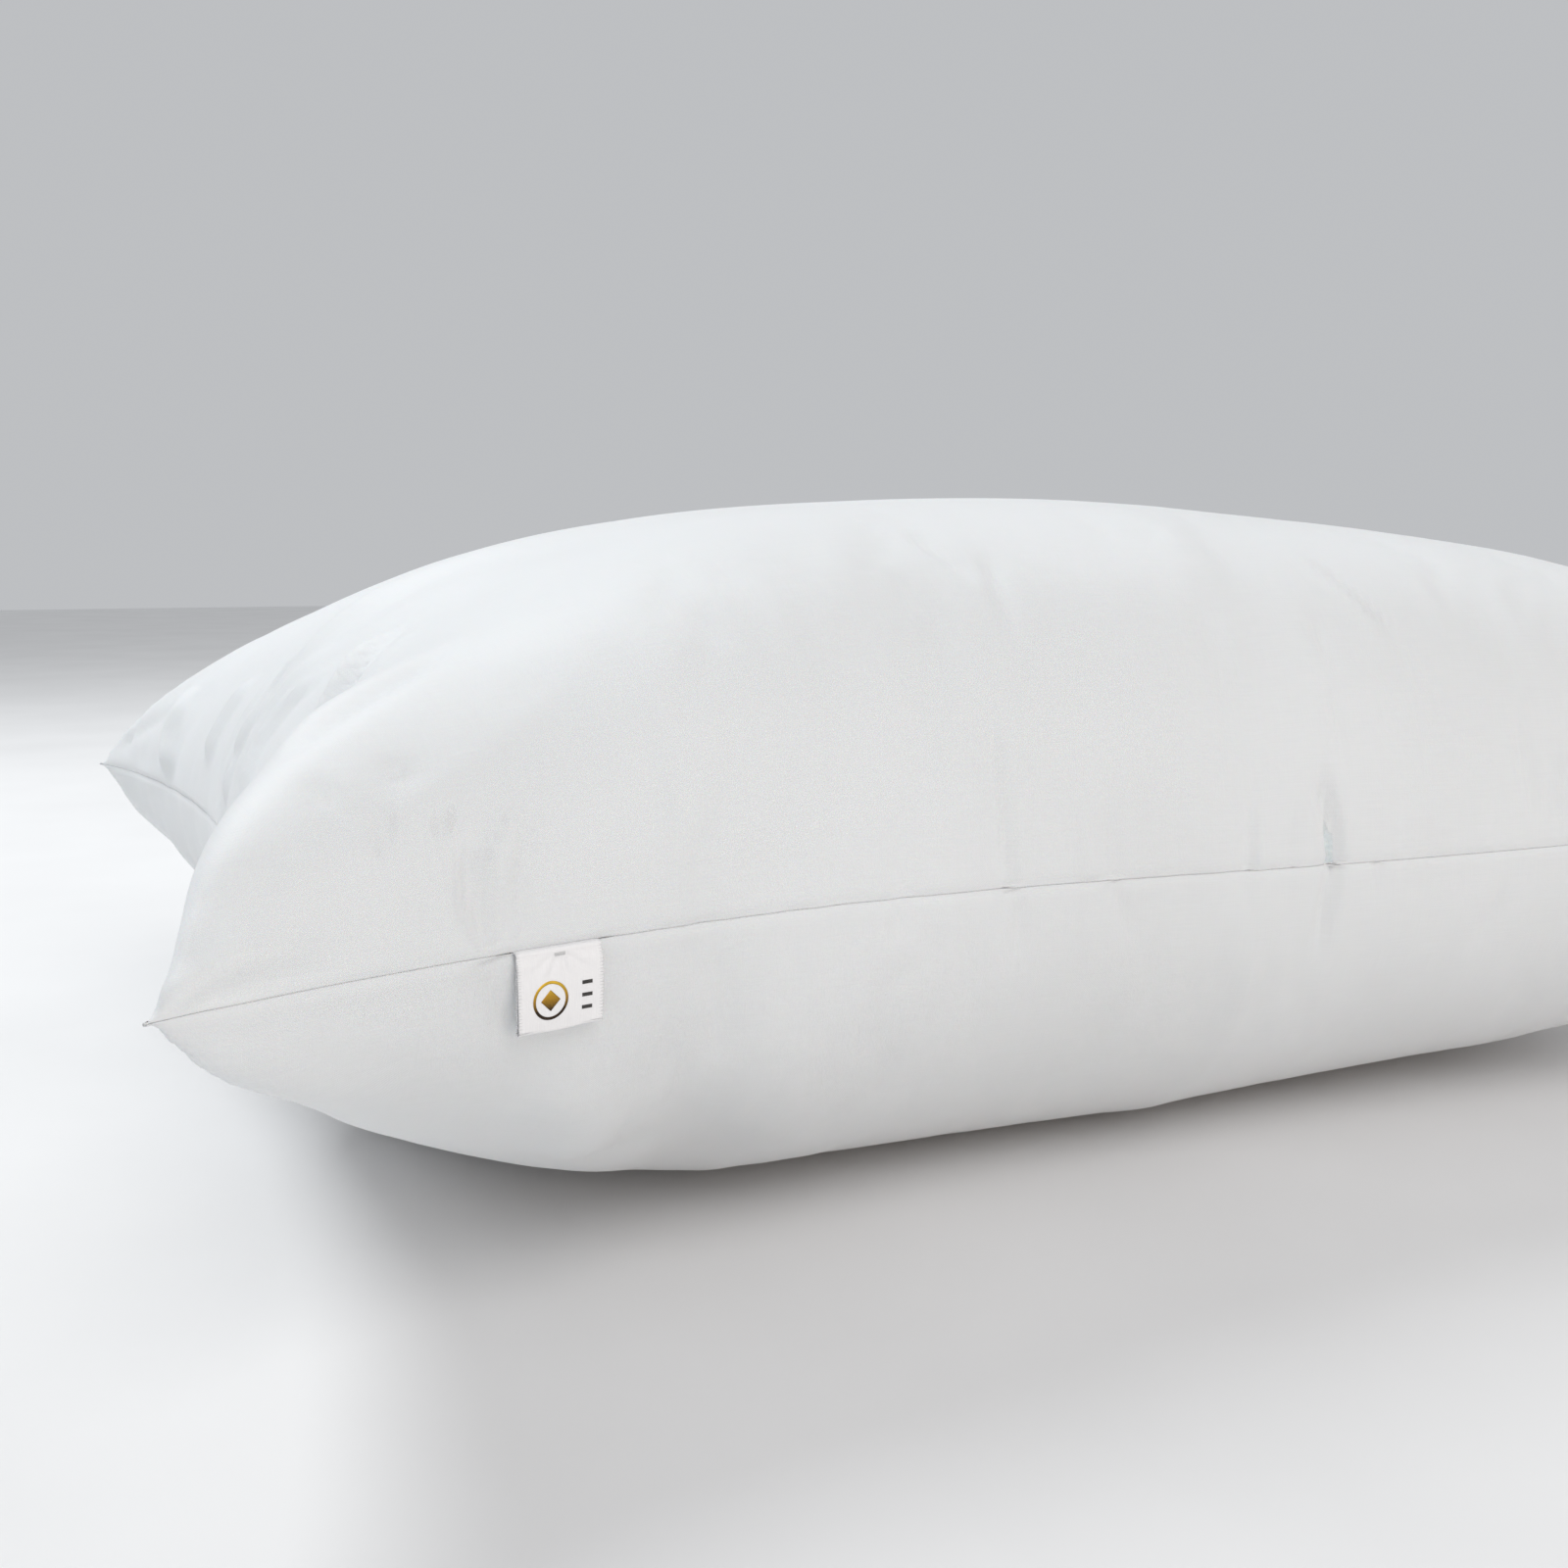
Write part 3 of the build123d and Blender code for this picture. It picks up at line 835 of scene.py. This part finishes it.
def ribbon_rows(flap_end):
    """One ply's rows from the tail's end to the fold: which stretch, and how far along it."""
    rows = [("tail", y) for y in np.linspace(label_tail + 0.0012, turn_radius * 0.8, 12)]
    rows += [("turn", angle) for angle in np.linspace(0, math.pi / 2, 9)[1:]]
    return rows + [("hang", down) for down in np.linspace(turn_radius, flap_end, 62)[1:]]


def ply_row(kind, value, side, across, flap_end):
    """A row of the front (-1) or back (1) ply, as its places inward and up."""
    gap = ribbon / 2 + ply_clearance
    level = np.ones(across.shape)
    centre_y = turn_radius * 0.8
    if kind == "tail":
        return level * value, level * (-side * gap)
    if kind == "turn":
        radius = turn_radius + (gap if side < 0 else -gap)
        return level * (centre_y - radius * math.sin(value)), level * (radius * math.cos(value) - turn_radius)
    apart, lean_out = ply_bulge(across, level * value)
    ease = min((value - turn_radius) / 0.003, 1) ** 1.5
    close = max(0.0, (value - flap_end + 0.004) / 0.004) ** 2
    wide = apart * (1 - close) + fold_radius * 0.85 * close
    centre = centre_y - turn_radius - lean_out * ease + value * math.tan(label_lean)
    return centre + side * (gap + (wide - 0.0001) * ease), level * -value


def label_ribbon(axes):
    """One ribbon: tail between the panels, out over the turning line, down, round and back."""
    origin, along, inward, up = axes
    across = np.linspace(-label_width / 2, label_width / 2, ribbon_columns)
    middle = ribbon_columns // 2
    flap_end = label_drop - fold_radius
    rows = ribbon_rows(flap_end)
    count = len(rows)
    front, back = ([ply_row(*row, side, across, flap_end) for row in rows] for side in (-1, 1))
    start, end = front[-1][0], back[-1][0]
    loop = []
    for angle in np.linspace(0, math.pi, fold_turns)[1:-1]:
        y = (start + end) / 2 - (end - start) / 2 * math.cos(angle)
        z = -flap_end - fold_radius * math.sin(angle) - 0.0003 * np.cos(across * 260)
        loop.append((y, z))
    chain = front + loop + back[::-1]
    y = np.array([row[0] for row in chain])
    z = np.array([row[1] for row in chain])
    grid = origin + across[None, :, None] * along + y[..., None] * inward + z[..., None] * up
    index = np.arange(y.size).reshape(y.shape)
    quads, rim = grid_quads(index), rim_loop(index)
    outward = vertex_normals(grid.reshape(-1, 3), quads)
    if outward[index[count // 2, middle]] @ inward > 0:
        quads, rim, outward = quads[:, ::-1], rim[::-1], -outward
    length = np.concatenate([[0], np.cumsum(np.linalg.norm(np.diff(grid[:, middle], axis=0), axis=1))])
    flat = np.stack(np.broadcast_arrays(across[None, :], length[:, None]), -1).reshape(-1, 2)
    shifted = grid.reshape(-1, 3) + outward * ribbon / 2
    piece = closed_sheet("label_ribbon_loop", shifted, quads, [rim], ribbon, flat)
    down = -z[:count, 0]
    face_rows = shifted.reshape(grid.shape)[:count]
    face_out = outward.reshape(grid.shape)[:count]
    return piece, (down, across, face_rows, face_out), length[-1]


def on_front(front, places):
    """Points and normals on the label's front at (across, down) places."""
    down, across, rows, outward = front
    first = int(np.argmax(down > turn_radius))
    row = np.interp(places[:, 1], down[first:], np.arange(first, len(down)))
    column = np.interp(places[:, 0], across, np.arange(len(across)))
    r0, c0 = np.floor(row).astype(int), np.floor(column).astype(int)
    r0, c0 = np.minimum(r0, len(down) - 2), np.minimum(c0, len(across) - 2)
    fr, fc = (row - r0)[:, None], (column - c0)[:, None]

    def read(a):
        return ((a[r0, c0] * (1 - fr) + a[r0 + 1, c0] * fr) * (1 - fc)
                + (a[r0, c0 + 1] * (1 - fr) + a[r0 + 1, c0 + 1] * fr) * fc)
    return read(rows), unit(read(outward))


def foil_piece(name, front, patches):
    """Thin printed foil that follows the ribbon's front: patches are (places, quads, rims)."""
    points, quads, rims, flats = [], [], [], []
    total = 0
    for places, faces, edges in patches:
        spot, outward = on_front(front, places)
        points.append(spot + outward * foil)
        quads.append(faces + total)
        rims += [edge + total for edge in edges]
        flats.append(places)
        total += len(places)
    points, quads = np.concatenate(points), np.concatenate(quads)
    if vertex_normals(points, quads)[0] @ label_axes()[2] > 0:
        quads, rims = quads[:, ::-1], [rim[::-1] for rim in rims]
    return closed_sheet(name, points, quads, rims, foil * 1.6, np.concatenate(flats))


def ring_patch(across, down, outer, inner, steps=128):
    radii = np.linspace(outer, inner, 4)
    turn = np.arange(steps) * 2 * math.pi / steps
    places = np.array([(across + r * math.cos(a), down + r * math.sin(a)) for r in radii for a in turn])
    index = np.arange(len(places)).reshape(len(radii), steps)
    faces = []
    for a, b in zip(index[:-1], index[1:]):
        faces.append(np.stack([a, np.roll(a, -1), np.roll(b, -1), b], 1))
    return places, np.concatenate(faces), [index[0], index[-1][::-1]]


def block_patch(across, down, half_wide, half_tall, turned=0.0):
    us = np.linspace(-half_wide, half_wide, 17)
    vs = np.linspace(-half_tall, half_tall, 13)
    gu, gv = np.meshgrid(us, vs, indexing="ij")
    c, s = math.cos(turned), math.sin(turned)
    places = np.stack([across + gu * c - gv * s, down + gu * s + gv * c], -1).reshape(-1, 2)
    index = np.arange(len(places)).reshape(gu.shape)
    return places, grid_quads(index), [rim_loop(index)]


def tack_stitches(front):
    """A bar tack through both plies just under the seam."""
    paths = []
    for k in range(11):
        across = -0.0015 + 0.0003 * k
        tops = np.array([(across, 0.0012), (across + 0.00008, 0.0020)])
        spot, outward = on_front(front, tops)
        lift = thread_radius * 1.1
        steps = [spot[0] - outward[0] * 0.0004, spot[0] + outward[0] * lift,
                 spot[1] + outward[1] * lift, spot[1] - outward[1] * 0.0004]
        paths.append(np.array(steps))
    return thread_piece("label_bar_tack", paths, 0.00012)


# ---- materials ----

class Nodes:
    """Short ways to lay a material's nodes."""

    def __init__(self, name):
        self.material = bpy.data.materials.new(name)
        self.material.use_nodes = True
        self.tree = self.material.node_tree
        self.shader = self.tree.nodes["Principled BSDF"]

    def add(self, kind, links=None, **settings):
        node = self.tree.nodes.new(kind)
        for key, value in settings.items():
            setattr(node, key, value)
        for key, value in (links or {}).items():
            self.put(node, key, value)
        return node

    def put(self, node, key, value):
        socket = node.inputs[key]
        if isinstance(value, bpy.types.NodeSocket):
            self.tree.links.new(value, socket)
        else:
            socket.default_value = value

    def shade(self, **values):
        for key, value in values.items():
            self.put(self.shader, key.replace("_", " "), value)

    def flat(self):
        """The cloth's own flat coordinates in metres: along, across."""
        place = self.add("ShaderNodeUVMap", uv_map="flat").outputs[0]
        split = self.add("ShaderNodeSeparateXYZ", {0: place})
        return split.outputs[0], split.outputs[1]

    def where(self):
        return self.add("ShaderNodeTexCoord").outputs["Object"]

    def math(self, operation, a, b=0.0):
        return self.add("ShaderNodeMath", {0: a, 1: b}, operation=operation).outputs[0]

    def ripple(self, place, pitch):
        """A sine along a coordinate, one period every pitch metres."""
        return self.math("SINE", self.math("MULTIPLY", place, 2 * math.pi / pitch))

    def noise(self, vector, scale, detail=3.0, roughness=0.5):
        links = {"Vector": vector, "Scale": scale, "Detail": detail, "Roughness": roughness}
        return self.add("ShaderNodeTexNoise", links).outputs[0]

    def stretched(self, along, across, by_along, by_across):
        """Flat coordinates scaled apart, so that noise runs in streaks."""
        links = {0: self.math("MULTIPLY", along, by_along), 1: self.math("MULTIPLY", across, by_across)}
        return self.add("ShaderNodeCombineXYZ", links).outputs[0]

    def ramp(self, factor, stops):
        node = self.add("ShaderNodeValToRGB", {0: factor})
        elements = node.color_ramp.elements
        while len(elements) < len(stops):
            elements.new(0.5)
        for element, (place, colour) in zip(elements, stops):
            element.position = place
            element.color = (*colour, 1)
        return node.outputs[0]

    def span(self, value, low, high, to_low, to_high):
        links = {0: value, 1: low, 2: high, 3: to_low, 4: to_high}
        return self.add("ShaderNodeMapRange", links).outputs[0]

    def bump(self, height, distance, strength, under=None):
        links = {"Height": height, "Distance": distance, "Strength": strength}
        if under is not None:
            links["Normal"] = under
        return self.add("ShaderNodeBump", links).outputs[0]


def microfibre_cloth():
    """Bright white, tightly woven microfibre with a soft satin sheen."""
    n = Nodes("microfibre_cloth")
    along, across = n.flat()
    where = n.where()
    weave = n.math("MULTIPLY", n.ripple(along, 0.00062), n.ripple(across, 0.00054))
    warp = n.noise(n.stretched(along, across, 60, 2600), 1.0, 2.0)
    weft = n.noise(n.stretched(along, across, 2600, 60), 1.0, 2.0)
    slub = n.math("ADD", n.math("MULTIPLY", warp, 0.6), n.math("MULTIPLY", weft, 0.4))
    crinkle = n.noise(where, 55.0, 3.0, 0.55)
    drift = n.noise(where, 9.0, 2.0, 0.5)
    tone = n.math("ADD", n.math("MULTIPLY", drift, 0.55), n.math("MULTIPLY", slub, 0.45))
    n.shade(Base_Color=n.ramp(tone, [(0.3, (0.80, 0.80, 0.805)), (0.7, (0.87, 0.872, 0.88))]))
    n.shade(Roughness=n.span(slub, 0.3, 0.7, 0.5, 0.62))
    n.shade(Sheen_Weight=0.25, Sheen_Roughness=0.45, Specular_IOR_Level=0.35)
    n.shade(Subsurface_Weight=0.06, Subsurface_Scale=0.004)
    low = n.bump(crinkle, 0.0006, 0.22)
    mid = n.bump(slub, 0.00012, 0.5, low)
    n.shade(Normal=n.bump(weave, 0.00005, 0.45, mid))
    return n.material


def satin_ribbon():
    """Bright white polyester satin: fine weft ribs, woven edges and a lengthwise gloss."""
    n = Nodes("satin_ribbon")
    across, along = n.flat()
    ribs = n.ripple(along, 0.00034)
    edge = n.math("ABSOLUTE", across)
    selvedge = n.span(edge, 0.0113, 0.0119, 0.0, 1.0)
    picot = n.math("MULTIPLY", n.ripple(along, 0.0009), selvedge)
    thread = n.noise(n.stretched(across, along, 5200, 180), 1.0, 3.0, 0.6)
    n.shade(Base_Color=n.ramp(thread, [(0.25, (0.90, 0.90, 0.915)), (0.75, (0.985, 0.985, 0.99))]))
    n.shade(Roughness=n.span(thread, 0.3, 0.7, 0.30, 0.46))
    n.shade(Specular_IOR_Level=0.6, Anisotropic=0.45, Sheen_Weight=0.15, Sheen_Roughness=0.3)
    first = n.bump(thread, 0.00006, 0.5)
    second = n.bump(ribs, 0.00003, 0.5, first)
    n.shade(Normal=n.bump(picot, 0.00012, 0.8, second))
    return n.material


def sewing_thread():
    """White spun polyester thread, with its twist as a fine bump."""
    n = Nodes("sewing_thread")
    where = n.where()
    waves = {"Vector": where, "Scale": 700.0, "Distortion": 1.5}
    twist = n.add("ShaderNodeTexWave", waves, bands_direction="DIAGONAL")
    fuzz = n.noise(where, 2600.0, 2.0)
    n.shade(Base_Color=n.ramp(fuzz, [(0.3, (0.74, 0.74, 0.74)), (0.7, (0.86, 0.86, 0.86))]))
    n.shade(Roughness=n.span(fuzz, 0.3, 0.7, 0.55, 0.7))
    n.shade(Normal=n.bump(twist.outputs[1], 0.00005, 0.6), Sheen_Weight=0.3)
    return n.material


def siliconised_fibre():
    """Soft white polyester fibre, matted in short tangled hairs."""
    n = Nodes("siliconised_fibre")
    where = n.where()
    tangle = n.noise(where, 420.0, 6.0, 0.7)
    clumps = n.add("ShaderNodeTexVoronoi", {"Vector": where, "Scale": 45.0}).outputs["Distance"]
    n.shade(Base_Color=n.ramp(tangle, [(0.3, (0.72, 0.72, 0.71)), (0.7, (0.9, 0.9, 0.9))]))
    n.shade(Roughness=n.span(tangle, 0.3, 0.7, 0.8, 0.95), Sheen_Weight=0.6, Subsurface_Weight=0.2)
    soft = n.bump(clumps, 0.002, 0.5)
    n.shade(Normal=n.bump(tangle, 0.0006, 0.8, soft))
    return n.material


def foil_grain(n):
    """A fine grain, laid as a bump, for the foils' colour and gloss to follow."""
    across, down = n.flat()
    grain = n.noise(n.stretched(across, down, 2400, 2400), 1.0, 3.0, 0.6)
    n.shade(Normal=n.bump(grain, 0.00002, 0.6))
    return grain, down


def gold_foil():
    """Hot-stamped gold foil whose colour carries a painted reflection: bright gold at the emblem's top,
    darkening to a near-black bronze at its bottom.
    """
    n = Nodes("gold_foil")
    grain, down = foil_grain(n)
    # painted reflection: the base colour darkens from bright gold at the emblem's top to near black at its
    # bottom
    reach = n.span(down, emblem_drop - emblem_radius, emblem_drop + emblem_radius, 0.0, 1.0)
    mixed = n.math("ADD", reach, n.math("MULTIPLY", n.math("SUBTRACT", grain, 0.5), 0.25))
    stops = [(0.12, (0.72, 0.46, 0.05)), (0.45, (0.44, 0.24, 0.03)), (0.75, (0.045, 0.03, 0.02))]
    n.shade(Base_Color=n.ramp(mixed, stops))
    n.shade(Metallic=0.85, Roughness=n.span(grain, 0.3, 0.7, 0.26, 0.42))
    return n.material


def black_foil():
    n = Nodes("black_foil")
    grain, _ = foil_grain(n)
    n.shade(Base_Color=n.ramp(grain, [(0.3, (0.012, 0.011, 0.010)), (0.7, (0.035, 0.032, 0.028))]))
    n.shade(Roughness=n.span(grain, 0.3, 0.7, 0.35, 0.5), Specular_IOR_Level=0.6)
    return n.material


def pale_floor():
    n = Nodes("pale_floor")
    where = n.where()
    haze = n.noise(where, 6.0, 3.0)
    n.shade(Base_Color=n.ramp(haze, [(0.3, (0.80, 0.80, 0.80)), (0.7, (0.84, 0.84, 0.84))]))
    n.shade(Roughness=n.span(haze, 0.3, 0.7, 0.75, 0.85))
    return n.material


# ---- the scene round the object ----

def add_floor():
    floor = flat_square("floor", 6.0)
    floor.data.materials.append(pale_floor())


def add_area(name, place, target, size, power, colour):
    light = bpy.data.lights.new(name, "AREA")
    light.shape = "DISK"
    light.size = size
    light.energy = power
    light.color = colour
    lamp = new_object(name, light)
    lamp.location = place
    lamp.rotation_euler = (Vector(target) - Vector(place)).to_track_quat("-Z", "Y").to_euler()
    lamp.visible_camera = False


def add_lights():
    middle = (0, 0, 0.1)
    add_area("back_softbox", (-0.8, 1.0, 1.8), middle, 0.9, 22, (0.96, 0.985, 1.0))
    add_area("front_softbox", (0.3, -2.6, 3.0), middle, 2.6, 35, (1.0, 0.985, 0.97))
    add_area("low_warm_fill", (0.4, -1.8, 0.3), middle, 1.2, 5.0, (1.0, 0.80, 0.64))
    world = bpy.data.worlds.new("studio")
    world.use_nodes = True
    background = world.node_tree.nodes["Background"]
    background.inputs["Color"].default_value = (0.95, 0.97, 1.0, 1)
    background.inputs["Strength"].default_value = 0.54
    bpy.context.scene.world = world
    bpy.context.scene.view_settings.view_transform = "Standard"


def add_camera():
    camera = bpy.data.cameras.new("camera")
    camera.lens = 36.92
    camera.sensor_width = 36
    camera.clip_start = 0.01
    view = new_object("camera", camera)
    yaw, pitch = 0.4166, 0.1442
    view.location = (-0.3616, -0.6003, 0.2177)
    view.rotation_euler = (math.pi / 2 - pitch, 0, -yaw)
    bpy.context.scene.camera = view


# ---- the pillow ----

def pillow_grids():
    """Both panels on fine lines: the simulated envelope, calmed, laid on the frame, creased."""
    raw = blow_up()
    calm = relax(*raw, calm_rounds)
    level = relax(*[evened(grid) for grid in raw], even_rounds)
    mixed = [even + raw_share * (sharp - soft) for even, sharp, soft in zip(level, raw, calm)]
    top, bottom = onto_frame(*mixed)
    s_lines = graded(cut_length, length_step)
    t_lines = graded(cut_width, width_step)
    fine = [refine(top, bottom, s_lines, t_lines), refine(bottom, top, s_lines, t_lines)]
    shaped = [
        sculpt(fine[0], top_folds, s_lines, t_lines, 1),
        sculpt(fine[1], bottom_folds, s_lines, t_lines, -1),
    ]
    shaped[1][..., 2] = np.maximum(shaped[1][..., 2], cloth * 0.2)
    return shaped, s_lines, t_lines


def edge_of(top, bottom):
    """The seam's middle line round the pillow, anticlockwise from above."""
    index = np.arange(top[..., 0].size).reshape(top.shape[:2])
    loop = rim_loop(index)
    return (top.reshape(-1, 3)[loop] + bottom.reshape(-1, 3)[loop]) / 2


def finish_piece(piece, body, material, slot, *nodes):
    piece.data.materials.append(material)
    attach(piece, body)
    if nodes:
        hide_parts(*nodes)


def build_pillow():
    (top, bottom), s_lines, t_lines = pillow_grids()
    line = seam_line(edge_of(top, bottom))
    shell, thread = microfibre_cloth(), sewing_thread()
    upper = panel_sheet("upper_panel", top, line, s_lines, t_lines, 1)
    lower = panel_sheet("lower_panel", bottom, line, s_lines, t_lines, -1)
    finish_piece(upper, "pillow", shell, "shell_cloth", "top_panel")
    finish_piece(lower, "pillow", shell, "shell_cloth", "bottom_panel")
    filling = fibre_filling(top, bottom, s_lines, t_lines)
    finish_piece(filling, "pillow", siliconised_fibre(), "fibre", "fibre_fill")
    finish_piece(lock_stitches(line), "pillow", thread, "thread", "perimeter_seam_thread")
    finish_piece(overlock_stitches(line), "pillow", thread, "thread", "overlock_thread")
    finish_piece(closing_stitches(line), "pillow", thread, "thread", "closing_seam_thread")
    return thread


def build_label(thread):
    axes = label_axes()
    loop, front, length = label_ribbon(axes)
    loop.data.materials.append(satin_ribbon())
    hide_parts("label_ribbon", "label_seam_tail")
    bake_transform(loop)
    ring = ring_patch(emblem_side, emblem_drop, emblem_radius, emblem_radius - emblem_line)
    gem = block_patch(emblem_side, emblem_drop, gem_half * 0.7, gem_half * 0.7, math.pi / 4)
    emblem = foil_piece("ring_and_diamond_foil", front, [ring, gem])
    finish_piece(emblem, "label", gold_foil(), "gold_foil", "label_emblem")
    places = [emblem_drop + k * bar_pitch for k in (-1, 0, 1)]
    bars = [block_patch(bar_side, place, bar_length / 2, bar_width / 2) for place in places]
    strip = foil_piece("three_bars_foil", front, bars)
    finish_piece(strip, "label", black_foil(), "black_foil", "label_bars")
    finish_piece(tack_stitches(front), "label", thread, "thread", "label_tack_thread")


build_label(build_pillow())
add_floor()
add_lights()
add_camera()
